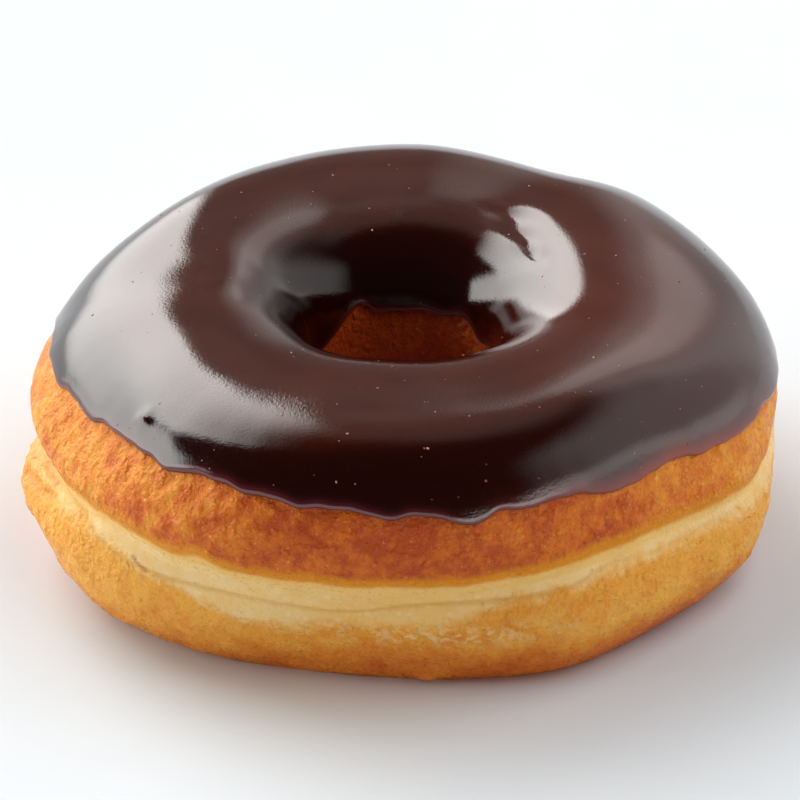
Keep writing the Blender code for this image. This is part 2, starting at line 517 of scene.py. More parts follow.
class Effects:
    """The node groups that are used more than once."""

    CORE: float = 0.4

    def __init__(self) -> None:
        """Builds the groups."""
        self.mottle = self._mottle()
        self.specks = self._specks()

    @staticmethod
    def _group(name: str, numbers: tuple[str, ...], output: str) -> tuple[Graph, dict[str, Output]]:
        """Starts a group that reads a place and some numbers and puts out one number.

        Args:
            name: The group's name.
            numbers: The names of its numbers.
            output: The name of what it puts out.

        Returns:
            The group's graph, and its inputs by name.
        """
        group = bpy.data.node_groups.new(name, "ShaderNodeTree")
        group.interface.new_socket("Place", in_out="INPUT", socket_type=Socket.VECTOR.value)
        for title in numbers:
            group.interface.new_socket(title, in_out="INPUT", socket_type=Socket.NUMBER.value)
        group.interface.new_socket(output, in_out="OUTPUT", socket_type=Socket.NUMBER.value)
        graph = Graph(group)
        given = graph.node("NodeGroupInput", {}).outputs
        return graph, {title: given[title] for title in ("Place", *numbers)}

    def _mottle(self) -> bpy.types.NodeTree:
        """Builds the uneven patches of one grain, which run from 0 to 1."""
        graph, given = self._group("mottle", ("Scale", "Detail", "Low", "High"), "Patches")
        clouds = graph.node(
            "ShaderNodeTexNoise",
            {"Vector": given["Place"], "Scale": given["Scale"], "Detail": given["Detail"], "Roughness": 0.6},
        )
        patches = graph.spread(clouds.outputs["Fac"], given["Low"], given["High"])
        graph.node("NodeGroupOutput", {"Patches": patches})
        return graph.tree

    def _specks(self) -> bpy.types.NodeTree:
        """Builds sparse round specks, flat in their core: a share of the cells of a grain has one each."""
        graph, given = self._group("specks", ("Scale", "Radius", "Share"), "Mask")
        cells = graph.node("ShaderNodeTexVoronoi", {"Vector": given["Place"], "Scale": given["Scale"]})
        chance = graph.node("ShaderNodeSeparateColor", {"Color": cells.outputs["Color"]}).outputs["Red"]
        chosen = graph.math("LESS_THAN", chance, given["Share"])
        core = graph.times(given["Radius"], self.CORE)
        dot = graph.spread(cells.outputs["Distance"], given["Radius"], core)
        graph.node("NodeGroupOutput", {"Mask": graph.times(chosen, dot)})
        return graph.tree


class MaterialGraph(Graph):
    """The node tree of one material, with the shared effects at hand."""

    def __init__(self, tree: bpy.types.NodeTree, effects: Effects) -> None:
        """Takes the tree and the groups, and finds the place on the object.

        Args:
            tree: The material's tree.
            effects: The shared node groups.
        """
        super().__init__(tree)
        self.effects = effects
        self.place = self.node("ShaderNodeTexCoord", {}).outputs["Object"]

    def attribute(self, name: str, output: str = "Fac") -> Output:
        """Reads an attribute of the mesh."""
        made = self.node("ShaderNodeAttribute", {}, attribute_name=name, attribute_type="GEOMETRY")
        return made.outputs[output]

    def patches(self, grain: Grain, place: Output | None = None) -> Output:
        """Adds uneven patches.

        Args:
            grain: The patches' size and limits.
            place: The coordinates that they follow, or None for the place on the object.

        Returns:
            The patches, from 0 to 1.
        """
        inputs = {"Scale": grain.scale, "Detail": grain.detail, "Low": grain.low, "High": grain.high}
        inputs["Place"] = self.place if place is None else place
        return self.node("ShaderNodeGroup", inputs, node_tree=self.effects.mottle).outputs["Patches"]

    def swings(self, grain: Grain) -> Output:
        """Adds patches that swing from -0.5 to 0.5."""
        return self.minus(self.patches(grain), 0.5)

    def dots(self, dots: Dots) -> Output:
        """Adds round dots, from 0 to 1."""
        inputs = {"Place": self.place, "Scale": dots.scale, "Radius": dots.radius, "Share": dots.share}
        return self.node("ShaderNodeGroup", inputs, node_tree=self.effects.specks).outputs["Mask"]


def colour(red: float, green: float, blue: float) -> tuple[float, float, float, float]:
    """Gives an opaque linear colour."""
    return (red, green, blue, 1.0)


class Finish:
    """What a piece looks like. Each kind has a name, and says what feeds the shader."""

    name: str

    def build(self, effects: Effects) -> bpy.types.Material:
        """Builds the material.

        Args:
            effects: The shared node groups.

        Returns:
            The material.
        """
        material = bpy.data.materials.new(self.name)
        material.use_nodes = True
        graph = MaterialGraph(material.node_tree, effects)
        graph.feed(material.node_tree.nodes["Principled BSDF"], self.inputs(graph))
        return material

    def inputs(self, graph: MaterialGraph) -> dict[str, Input]:
        """Gives the shader's inputs."""
        raise NotImplementedError


@dataclass(frozen=True)
class CrustFinish(Finish):
    """The fried crust: browned lobes, a pale waist between them, and a greasy, finely wrinkled skin.

    Its colour holds painted light and shade: pale specks painted as highlights, blisters and wrinkle ridges
    painted paler, and the waist's crease, the grooves and the nick painted darker.

    Ranges say where an effect is 0 and where it is 1. Those of borders, of the honey and of the amber line are
    in millimetres from the waist. Heights of the bumps are shares of bump_depth.
    """

    name: str = "fried_crust"
    golden: tuple = colour(0.83, 0.40, 0.058)
    tan: tuple = colour(0.74, 0.257, 0.023)
    brown: tuple = colour(0.61, 0.132, 0.009)
    dark: tuple = colour(0.43, 0.062, 0.006)
    cream: tuple = colour(0.84, 0.60, 0.28)
    butter: tuple = colour(0.82, 0.50, 0.15)
    amber: tuple = colour(0.68, 0.235, 0.004)
    honey: tuple = colour(0.78, 0.33, 0.026)
    # Painted shade: the darker colour of the waist's crease and of the grooves.
    crease: tuple = colour(0.66, 0.33, 0.055)
    # Painted highlight: the pale colour of tiny specks that stand in for gleams on the greasy skin.
    painted_glint: tuple = colour(0.97, 0.62, 0.26)
    # Painted shade: the dark colour of the small nick.
    nick_shade: tuple = colour(0.40, 0.085, 0.014)

    tan_from: float = 0.33
    brown_from: float = 0.68
    wide: Grain = Grain(120.0, 2.0, 0.3, 0.7)
    blotches: Grain = Grain(480.0, 2.0, 0.3, 0.7)
    grain: Grain = Grain(1500.0, 3.0, 0.3, 0.7)
    wide_share: float = 0.22
    blotch_share: float = 0.27
    grain_share: float = 0.20
    upper_lobe: tuple[float, float] = (-1.0, 1.0)
    lower_mottling: float = 0.5

    ridges: Grain = Grain(330.0, 2.0, 0.34, 0.66)
    # Painted light and shade: how much paler the wrinkles' ridges are painted than their hollows.
    ridge_painted_light: float = 0.22
    blisters: Dots = Dots(820.0, 0.44, 0.38)
    # Painted light: how much paler the blisters are painted, as if lit on their tops.
    blister_painted_light: float = 0.13
    painted_glint_dots: Dots = Dots(1500.0, 0.26, 0.16)
    painted_glint_places: tuple[float, float] = (-0.6, 1.0)
    painted_glint_share: float = 0.5
    crease_shade_share: float = 0.6
    nick_shade_share: float = 0.8

    ragged: Grain = Grain(420.0, 3.0, 0.25, 0.75)
    crumbs: Grain = Grain(1100.0, 3.0, 0.25, 0.75)
    ragged_top: float = 0.35
    ragged_foot: float = 1.3
    crumbled_foot: float = 1.1
    upper_border: tuple[float, float] = (-0.25, 1.20)
    lower_border: tuple[float, float] = (-0.7, 2.0)
    buttery: Grain = Grain(260.0, 2.0, 0.35, 0.75)
    buttery_share: float = 0.6
    buttery_toast: tuple[float, float] = (0.07, 0.33)
    honey_from: tuple[float, float] = (-1.4, 0.4)
    honey_to: tuple[float, float] = (4.5, 0.6)
    honey_share: float = 0.6
    torn: Grain = Grain(800.0, 3.0, 0.3, 0.7)
    torn_part: tuple[float, float] = (0.45, 0.75)
    torn_share: float = 0.7
    amber_from: tuple[float, float] = (-0.90, 0.10)
    amber_to: tuple[float, float] = (2.10, 0.60)
    amber_foot: tuple[float, float] = (0.5, -0.5)
    amber_share: float = 0.97

    grease: Grain = Grain(1500.0, 2.0, 0.45, 0.62)
    dry: float = 0.50
    greasy: float = 0.24
    pebbles: Grain = Grain(1150.0, 2.0, 0.25, 0.75)
    pebble_height: float = 0.9
    waist_height: float = 0.20
    fine: Grain = Grain(3000.0, 2.0, 0.3, 0.7)
    fine_height: float = 0.22
    blister_height: float = 0.9
    pores: Dots = Dots(900.0, 0.26, 0.25)
    pore_depth: float = 0.6
    bump_depth: float = 0.00017

    def inputs(self, graph: MaterialGraph) -> dict[str, Input]:
        """Gives the shader's inputs.

        Args:
            graph: The material's graph.

        Returns:
            Values or sockets, by the input's name.
        """
        creased = graph.attribute("creased")
        folded = graph.times(graph.patches(self.ridges, graph.attribute("flow", "Vector")), creased)
        blisters = graph.dots(self.blisters)
        # Painted light and shade: the wrinkles' ridges are painted paler, their hollows darker.
        toast_and_painted_shading = graph.minus(graph.attribute("toast_and_painted_shading"), graph.times(folded, self.ridge_painted_light))
        # Painted light: the blisters are painted paler.
        toast_and_painted_shading = graph.minus(toast_and_painted_shading, graph.times(blisters, self.blister_painted_light))
        skin, browned = self._colours(graph, toast_and_painted_shading)
        # Painted shade in the waist's crease and the grooves.
        skin = graph.mix(graph.times(graph.attribute("crease"), self.crease_shade_share), skin, self.crease)
        # Painted highlight: pale specks painted on the browned crust, most where it is wrinkled.
        painted_glint_mask = graph.times(browned, graph.spread(creased, *self.painted_glint_places))
        painted_glint_mask = graph.times(graph.dots(self.painted_glint_dots), painted_glint_mask)
        skin = graph.mix(graph.times(painted_glint_mask, self.painted_glint_share), skin, self.painted_glint)
        # Painted shade: the nick is painted dark, as shade in it.
        skin = graph.mix(graph.times(graph.attribute("nick"), self.nick_shade_share), skin, self.nick_shade)
        height = self._relief(graph, browned, folded, blisters)
        return {
            "Base Color": skin,
            "Roughness": graph.between(graph.patches(self.grease), self.dry, self.greasy),
            "Normal": graph.bumps(height, self.bump_depth),
            "IOR": 1.38,
            "Specular IOR Level": 0.34,
            "Subsurface Weight": 0.18,
            "Subsurface Radius": (1.0, 0.45, 0.18),
            "Subsurface Scale": 0.0011,
        }

    def _colours(self, graph: MaterialGraph, toast_and_painted_shading: Output) -> tuple[Output, Output]:
        """Colours the browned lobes and the pale waist.

        Args:
            graph: The material's graph.
            toast_and_painted_shading: How brown the crust is, with painted shade in the grooves and painted light
                on the blisters and ridges.

        Returns:
            The colour, and 1 where the crust is browned and 0 on the waist.
        """
        above, below = graph.attribute("above"), graph.attribute("below")
        mottled = graph.between(graph.spread(above, *self.upper_lobe), self.lower_mottling, 1.0)
        shade = graph.plus(toast_and_painted_shading, graph.times(graph.swings(self.wide), self.wide_share))
        for grain, share in ((self.blotches, self.blotch_share), (self.grain, self.grain_share)):
            swings = graph.times(graph.swings(grain), graph.times(mottled, share))
            shade = graph.plus(shade, swings)
        stops = ((0.0, self.golden), (self.tan_from, self.tan), (self.brown_from, self.brown), (1.0, self.dark))
        crust = graph.ramp(shade, stops)

        ragged = graph.swings(self.ragged)
        crumbs = graph.swings(self.crumbs)
        top = graph.plus(above, graph.times(ragged, self.ragged_top))
        foot = graph.plus(below, graph.times(ragged, self.ragged_foot), graph.times(crumbs, self.crumbled_foot))
        over = graph.spread(top, *self.upper_border)
        under = graph.spread(foot, *self.lower_border)

        buttery = graph.times(graph.patches(self.buttery), self.buttery_share)
        buttery = graph.math("ADD", buttery, graph.spread(toast_and_painted_shading, *self.buttery_toast), clamp=True)
        waist = graph.mix(buttery, self.cream, self.butter)
        near = graph.times(graph.spread(foot, *self.honey_from), graph.spread(foot, *self.honey_to))
        lower = graph.mix(graph.times(near, self.honey_share), crust, self.honey)
        torn = graph.spread(graph.patches(self.torn), *self.torn_part)
        torn = graph.times(torn, graph.attribute("torn"), self.torn_share)
        lower = graph.mix(torn, lower, self.cream)
        skin = graph.mix(over, graph.mix(under, waist, lower), crust)
        line = graph.times(
            graph.spread(top, *self.amber_from),
            graph.spread(top, *self.amber_to),
            graph.spread(below, *self.amber_foot),
            self.amber_share,
        )
        return graph.mix(line, skin, self.amber), graph.math("MAXIMUM", over, under)

    def _relief(self, graph: MaterialGraph, browned: Output, folded: Output, blisters: Output) -> Output:
        """Adds up the finest relief.

        Args:
            graph: The material's graph.
            browned: 1 on the browned crust and 0 on the waist.
            folded: The wrinkles where the crust has them, from 0 to 1.
            blisters: The small round blisters, from 0 to 1.

        Returns:
            The height, as a share of the bumps' depth.
        """
        pebbled = graph.plus(graph.times(browned, self.pebble_height), self.waist_height)
        height = graph.plus(
            graph.times(graph.patches(self.pebbles), pebbled),
            graph.times(graph.patches(self.fine), self.fine_height),
            graph.times(folded, browned),
            graph.times(blisters, browned, self.blister_height),
        )
        return graph.minus(height, graph.times(graph.dots(self.pores), self.pore_depth))


@dataclass(frozen=True)
class IcingFinish(Finish):
    """Glossy dark chocolate icing, redder where it is thin, with painted light on top and painted shade on
    slopes.
    """

    name: str = "chocolate_icing"
    brown: tuple = colour(0.052, 0.0078, 0.0026)
    bitter: tuple = colour(0.040, 0.0055, 0.0020)
    # Painted shade: the dark colour of the icing's slopes, away from its lit top.
    deep: tuple = colour(0.013, 0.0012, 0.0006)
    thin: tuple = colour(0.16, 0.026, 0.034)
    ember: tuple = colour(0.22, 0.020, 0.006)
    clouds: Grain = Grain(160.0, 3.0, 0.3, 0.7)
    dust: Grain = Grain(3200.0, 2.0, 0.35, 0.7)
    glossy: float = 0.06
    dusty: float = 0.14
    ripples: Grain = Grain(3000.0, 2.0, 0.2, 0.8)
    ripple_depth: float = 0.000006

    def inputs(self, graph: MaterialGraph) -> dict[str, Input]:
        """Gives the shader's inputs.

        Args:
            graph: The material's graph.

        Returns:
            Values or sockets, by the input's name.
        """
        body = graph.mix(graph.patches(self.clouds), self.brown, self.bitter)
        # Painted light and shade: the body's brown where the icing faces up, the dark colour on its slopes.
        body = graph.mix(graph.attribute("painted_top_light"), self.deep, body)
        body = graph.mix(graph.attribute("lip"), body, self.thin)
        return {
            "Base Color": graph.mix(graph.attribute("ember"), body, self.ember),
            "Roughness": graph.between(graph.patches(self.dust), self.glossy, self.dusty),
            "Normal": graph.bumps(graph.patches(self.ripples), self.ripple_depth),
            "IOR": 1.65,
        }


@dataclass(frozen=True)
class SpeckFinish(Finish):
    """Pale and reddish grains, half sunk in the icing."""

    name: str = "sugar_specks"
    pale: tuple = colour(0.48, 0.24, 0.17)
    rusty: tuple = colour(0.24, 0.060, 0.030)
    kinds: Grain = Grain(300.0, 1.0, 0.4, 0.6)

    def inputs(self, graph: MaterialGraph) -> dict[str, Input]:
        """Gives the shader's inputs."""
        return {"Base Color": graph.mix(graph.patches(self.kinds), self.pale, self.rusty), "Roughness": 0.35}


@dataclass(frozen=True)
class TableFinish(Finish):
    """A plain pale table top."""

    name: str = "pale_table"
    pale: tuple = colour(0.715, 0.755, 0.80)
    shade: tuple = colour(0.70, 0.74, 0.785)
    clouds: Grain = Grain(30.0, 2.0, 0.2, 0.8)

    def inputs(self, graph: MaterialGraph) -> dict[str, Input]:
        """Gives the shader's inputs."""
        top = graph.mix(graph.patches(self.clouds), self.pale, self.shade)
        return {"Base Color": top, "Roughness": 0.75, "Specular IOR Level": 0.3}


def add_ring(name: str, points: np.ndarray, values: dict[str, np.ndarray]) -> bpy.types.Object:
    """Adds a grid, rolls it up into a ring, and closes its seams.

    Args:
        name: The piece's name.
        points: The ring's points: for each azimuth, one section in the order of its turns.
        values: Attributes: one number or one vector for each point.

    Returns:
        The piece.
    """
    around, across = points.shape[:2]
    bpy.ops.object.select_all(action="DESELECT")
    bpy.ops.mesh.primitive_grid_add(x_subdivisions=around, y_subdivisions=across, size=0.1)
    piece = bpy.context.object
    piece.name = name
    piece.data.name = name
    piece.data.vertices.foreach_set("co", rolled(points))
    for title, numbers in values.items():
        kind, key = ("FLOAT_VECTOR", "vector") if numbers.ndim > 2 else ("FLOAT", "value")
        layer = piece.data.attributes.new(title, kind, "POINT")
        layer.data.foreach_set(key, rolled(numbers))
    piece.data.update()
    bpy.ops.object.mode_set(mode="EDIT")
    bpy.ops.mesh.select_all(action="SELECT")
    bpy.ops.mesh.remove_doubles(threshold=SEAM_GAP)
    bpy.ops.object.mode_set(mode="OBJECT")
    return piece


def rolled(values: np.ndarray) -> np.ndarray:
    """Orders values as the grid's vertices are.

    Args:
        values: Values of the ring's points, by azimuth and turn.

    Returns:
        The values row by row, with the first of each row and the first row again at the seams.
    """
    closed = np.concatenate([values, values[:1]], axis=0)
    closed = np.concatenate([closed, closed[:, :1]], axis=1)
    return np.swapaxes(closed, 0, 1).reshape(-1).astype(np.float32)


def finish_mesh(piece: bpy.types.Object, material: bpy.types.Material) -> None:
    """Gives a piece its material and smooth shading.

    Args:
        piece: The piece.
        material: Its material.
    """
    bpy.ops.object.select_all(action="DESELECT")
    piece.select_set(True)
    bpy.context.view_layer.objects.active = piece
    bpy.ops.object.shade_smooth()
    piece.data.materials.clear()
    piece.data.materials.append(material)


def noise_at(
    points: np.ndarray, size: float, kind: Callable[[list[float]], float] = noise.noise
) -> np.ndarray:
    """Works out smooth noise.

    Args:
        points: Points, in metres.
        size: The size of its patches, in metres.
        kind: The kind of noise.

    Returns:
        The noise at each point, from about -1 to 1.
    """
    values = [kind(point) for point in (points / size).reshape(-1, 3).tolist()]
    return np.array(values).reshape(points.shape[:-1])


def two_layered(point: list[float]) -> float:
    """Gives noise, and on it a layer of half its size and half its strength."""
    return noise.fractal(point, 1.0, 2.0, 2)


@dataclass
class DoughRing:
    """The fried dough ring with its fine relief."""

    shape: RingShape
    edges: IcingEdges
    axis: Vector
    around: int = 700
    wall_rows: int = 98
    covered_rows: int = 8
    hole_rows: int = 28
    foot_rows: int = 5
    tuck: float = 0.08
    pale_top: float = 0.0177
    pale_top_swells: tuple[Swell, ...] = (
        Swell(225, 0.0020, 20), Swell(237, 0.0009, 3), Swell(252, 0.0009, 14), Swell(345, -0.0023, 26),
        Swell(90, 0.0005, 50), Swell(178, -0.0046, 17),
    )
    pale_top_waves: tuple[Wave, ...] = (Wave(23, 0.00012, 4), Wave(37, 0.00010, 3))
    pale_foot: float = 0.0150
    pale_foot_swells: tuple[Swell, ...] = (
        Swell(213, 0.0016, 10), Swell(248, -0.0050, 15), Swell(272, -0.0036, 11), Swell(345, -0.0020, 22),
        Swell(90, -0.0015, 50), Swell(178, -0.0013, 19),
    )
    pale_foot_waves: tuple[Wave, ...] = (Wave(19, 0.00020, 4),)
    upper_skin: tuple[float, float] = (-0.2, 0.8)
    lower_skin: tuple[float, float] = (-0.5, 1.2)
    upper_lobe: tuple[float, float] = (-2.0, -0.5)
    upper_toast: float = 0.39
    upper_browning: tuple[Swell, ...] = (
        Swell(264, 0.54, 36), Swell(222, 0.12, 20), Swell(80, 0.28, 70), Swell(302, 0.20, 20),
    )
    lower_toast: float = 0.07
    lower_browning: tuple[Swell, ...] = (Swell(268, 0.18, 34), Swell(90, 0.25, 70), Swell(188, 0.20, 15))
    rim_toast: float = 0.38
    rim_browning: tuple[Swell, ...] = (Swell(322, 0.34, 32),)
    rim_heights: tuple[float, float] = (0.0085, 0.0015)
    # Painted shade: how much browner the grooves are painted.
    groove_shade: float = 0.40
    hole_toast: float = 1.05
    lump_size: float = 0.011
    lump_height: float = 0.00024
    grain_size: float = 0.0017
    grain_height: float = 0.00010
    blister_size: float = 0.0021
    blister_height: float = 0.00022
    blister_part: tuple[float, float] = (0.3, 0.6)
    wrinkle_size: float = 0.0028
    wrinkle_height: float = 0.00023
    wrinkle_lean: float = -10.0
    wrinkle_stretch: float = 0.25
    wrinkle_places: tuple[Swell, ...] = (Swell(210, 1.0, 20), Swell(230, 1.0, 16))
    wrinkles_elsewhere: float = 0.20
    wrinkles_below: float = 0.45
    crease_level: float = 0.0143
    crease_shifts: tuple[Swell, ...] = (
        Swell(259, -0.0016, 9.5), Swell(247, -0.0005, 7), Swell(306, 0.0010, 6), Swell(340, -0.0009, 14),
        Swell(209, 0.0022, 9),
    )
    crease_depth: float = 0.00022
    crease_half: float = 0.00028
    crease_places: tuple[Swell, ...] = (Swell(235, 1.0, 40), Swell(285, 1.0, 22))
    crease_elsewhere: float = 0.35
    seams: tuple[Seam, ...] = (
        Seam(((176, 12.4), (181, 13.3), (187, 14.3), (194.5, 15.1), (201, 15.9), (211, 16.5)), -0.00065, 0.00075),
        Seam(((184.5, 12.2), (188.7, 13.1), (192.0, 13.7), (195.0, 13.9), (197.0, 14.6)), 0.00045, 0.00050),
        Seam(((187.0, 11.4), (191.0, 12.3), (195.0, 12.7), (199.5, 13.9)), -0.00045, 0.00050),
    )
    nick: Seam = Seam(((223.3, 15.4), (224.3, 14.8), (225.9, 14.4)), -0.00006, 0.00026)
    lump: Fold = Fold(273.5, 0.0007, 2.2, 0.0012, 0.0016)
    stain: Fold = Fold(296, 2.5, 1.6192, 0.0132, 0.0013)
    torn: Fold = Fold(276, 1.0, 22, 0.0090, 0.0015)
    outer_part: tuple[float, float] = (0.0, 0.2)
    settled: float = 0.0012
    foot_level: float = 0.0002
    name: str = "crust"

    def _grid(self) -> tuple[np.ndarray, np.ndarray]:
        """Works out the turns of all vertices.

        Returns:
            The azimuths, and for each the turns of the wall, under the icing and of the hole's wall.
        """
        azimuth = np.linspace(0.0, 2.0 * np.pi, self.around, endpoint=False)
        foot_out, foot_in = self.shape.foot_turns(azimuth)
        ice_out, ice_in = self.edges.turns(self.shape, azimuth)
        ends = np.stack([foot_out, ice_out + self.tuck, ice_in - self.tuck, foot_in], axis=-1)
        shares = (
            np.linspace(0.0, 1.0, self.wall_rows, endpoint=False),
            np.linspace(0.0, 1.0, self.covered_rows, endpoint=False),
            np.linspace(0.0, 1.0, self.hole_rows),
        )
        rows = []
        for angle, turns in zip(azimuth, ends):
            parts = zip(turns, turns[1:], shares)
            rows.append(np.concatenate([self.shape.even_turns(angle, *part)[0] for part in parts]))
        return azimuth, np.array(rows)

    def _crease(self, azimuth: np.ndarray, height: np.ndarray) -> np.ndarray:
        """Gives the crease of the waist, from 0 to 1."""
        away = height - swollen(self.crease_level, (), self.crease_shifts, azimuth)
        return somewhere(azimuth, self.crease_elsewhere, self.crease_places) * fading(away / self.crease_half)

    def _seam(self, azimuth: np.ndarray, height: np.ndarray, seam: Seam) -> np.ndarray:
        """Works out how near the points are to a seam.

        Args:
            azimuth: Azimuths in radians.
            height: Heights in metres.
            seam: The seam.

        Returns:
            1 on the seam, and less away from it.
        """
        across, up = azimuth * self.shape.upper_radius, height
        nearest = np.full_like(height, FAR)
        places = [(math.radians(a) * self.shape.upper_radius, level * MM) for a, level in seam.places]
        for (x0, y0), (x1, y1) in zip(places, places[1:]):
            length = (x1 - x0) ** 2 + (y1 - y0) ** 2
            share = np.clip(((across - x0) * (x1 - x0) + (up - y0) * (y1 - y0)) / length, 0.0, 1.0)
            away = np.hypot(across - x0 - share * (x1 - x0), up - y0 - share * (y1 - y0))
            nearest = np.minimum(nearest, away)
        return fading(nearest / seam.half_width)

    def _flow(self, azimuth: np.ndarray, points: np.ndarray) -> np.ndarray:
        """Works out coordinates in which the wrinkles, which lean and are drawn out up the wall, are round.

        Args:
            azimuth: Azimuths in radians.
            points: Points of the crust.

        Returns:
            The coordinates of each point.
        """
        height = points[..., 2]
        leaning = azimuth + self.wrinkle_lean * height
        radius = np.hypot(points[..., 0], points[..., 1])
        flow = [radius * np.cos(leaning), radius * np.sin(leaning), height * self.wrinkle_stretch]
        return np.stack(flow, axis=-1)

    def _relief(self, azimuth: np.ndarray, points: np.ndarray, outside: np.ndarray) -> np.ndarray:
        """Works out how far the skin stands out from the plain form.

        Args:
            azimuth: Azimuths in radians.
            points: Points of the plain form.
            outside: 1 on the outer wall and 0 elsewhere.

        Returns:
            The relief in metres.
        """
        height = points[..., 2]
        above, below = self._from_waist(azimuth, height)
        browned = np.maximum(smooth_step(above, *self.upper_skin), smooth_step(below, *self.lower_skin))
        blisters = smooth_step(noise_at(points, self.blister_size), *self.blister_part)
        ridges = 0.5 - 2.0 * np.abs(noise_at(self._flow(azimuth, points), self.wrinkle_size))
        relief = self.lump_height * noise_at(points, self.lump_size)
        relief = relief + self.grain_height * browned * noise_at(points, self.grain_size, two_layered)
        relief = relief + self.blister_height * browned * blisters
        relief = relief + self.wrinkle_height * self._creased(azimuth, above) * browned * outside * ridges
        relief = relief - self.crease_depth * outside * self._crease(azimuth, height)
        for seam in (*self.seams, self.nick):
            relief = relief + seam.rise * outside * self._seam(azimuth, height, seam)
        return relief + self.lump.rise * outside * spot(azimuth, height, self.lump)

    def _creased(self, azimuth: np.ndarray, above: np.ndarray) -> np.ndarray:
        """Works out how wrinkled the crust is.

        Args:
            azimuth: Azimuths in radians.
            above: Millimetres above the top of the waist.

        Returns:
            1 where it is most wrinkled, at the left and the front left of the upper lobe, and less elsewhere.
        """
        around = somewhere(azimuth, self.wrinkles_elsewhere, self.wrinkle_places)
        upper = smooth_step(above, *self.upper_lobe)
        return around * (self.wrinkles_below + (1.0 - self.wrinkles_below) * upper)

    def _from_waist(self, azimuth: np.ndarray, height: np.ndarray) -> tuple[np.ndarray, np.ndarray]:
        """Works out how far the points are from the pale waist.

        Args:
            azimuth: Azimuths in radians.
            height: Heights in metres.

        Returns:
            Millimetres above the top of the waist, and below its foot.
        """
        top = swollen(self.pale_top, self.pale_top_waves, self.pale_top_swells, azimuth)
        foot = swollen(self.pale_foot, self.pale_foot_waves, self.pale_foot_swells, azimuth)
        return (height - top) / MM, (foot - height) / MM

    def _toast(self, azimuth: np.ndarray, height: np.ndarray, upper: np.ndarray) -> np.ndarray:
        """Works out how brown the crust is.

        Args:
            azimuth: Azimuths in radians.
            height: Heights in metres.
            upper: 1 on the upper lobe and 0 on the lower one.

        Returns:
            0 where it is golden, and 1 where it is darkest.
        """
        top = swollen(self.upper_toast, (), self.upper_browning, azimuth)
        foot = swollen(self.lower_toast, (), self.lower_browning, azimuth)
        rim = swollen(self.rim_toast, (), self.rim_browning, azimuth) * smooth_step(height, *self.rim_heights)
        return foot + rim + (top - foot - rim) * upper

    def build(self, material: bpy.types.Material) -> bpy.types.Object:
        """Builds the dough ring.

        Args:
            material: The crust's material.

        Returns:
            The piece.
        """
        azimuth, turns = self._grid()
        round_ring = np.broadcast_to(azimuth[:, None], turns.shape)
        plain = self.shape.surface(round_ring, turns)
        normal = self.shape.outward(round_ring, turns)
        outside = smooth_step(np.cos(turns), *self.outer_part)
        fade = smooth_step(plain[..., 2], 0.0, self.settled)
        relief = self._relief(round_ring, plain, outside) * fade
        points = plain + normal * relief[..., None]
        points[..., 2] = np.maximum(points[..., 2], 0.0)
        points[:, 0, 2] = 0.0
        points[:, -1, 2] = 0.0
        shares = np.linspace(0.0, 1.0, self.foot_rows + 2)[1:-1, None]
        foot = points[:, -1:, :] * (1.0 - shares) + points[:, :1, :] * shares
        points = np.concatenate([points, foot], axis=1)
        azimuths = np.broadcast_to(azimuth[:, None], points.shape[:2])
        outer = np.zeros(points.shape[:2])
        outer[:, : turns.shape[1]] = outside
        values = self._values(azimuths, points, outer)
        points = points + np.array([self.axis.x, self.axis.y, 0.0])
        piece = add_ring(self.name, points, values)
        finish_mesh(piece, material)
        return piece

    def _values(
        self, azimuths: np.ndarray, points: np.ndarray, outer: np.ndarray
    ) -> dict[str, np.ndarray]:
        """Works out the attributes that the crust's material reads.

        Args:
            azimuths: Azimuths in radians.
            points: The ring's points, round its own axis.
            outer: 1 on the outer wall and 0 elsewhere.

        Returns:
            One number or one vector for each point, by the attribute's name.
        """
        height = points[..., 2]
        above, below = self._from_waist(azimuths, height)
        inside = outer < 0.5
        above = np.where(inside, np.where(height > self.foot_level, FAR, -FAR), above)
        below = np.where(inside, FAR, below)
        grooves = sum(self._seam(azimuths, height, seam) for seam in self.seams if seam.rise < 0.0)
        folds = sum(self._seam(azimuths, height, seam) for seam in self.seams if seam.rise > 0.0)
        toast_and_painted_shading = self._toast(azimuths, height, smooth_step(above, *self.upper_lobe))
        # Painted shade: the grooves are painted browner, as shade in them.
        toast_and_painted_shading = toast_and_painted_shading + self.groove_shade * grooves
        below = below + self.stain.rise * spot(azimuths, height, self.stain) * (above < 0.0)
        return {
            "above": above,
            "below": below,
            "toast_and_painted_shading": np.where(inside, self.hole_toast, toast_and_painted_shading),
            # Painted shade: the waist's crease and the grooves, which the material paints darker.
            "crease": outer * np.clip(self._crease(azimuths, height) + grooves, 0.0, 1.0),
            "nick": outer * self._seam(azimuths, height, self.nick),
            "torn": outer * np.maximum(spot(azimuths, height, self.torn), folds),
            "creased": outer * self._creased(azimuths, above),
            "flow": self._flow(azimuths, points),
        }


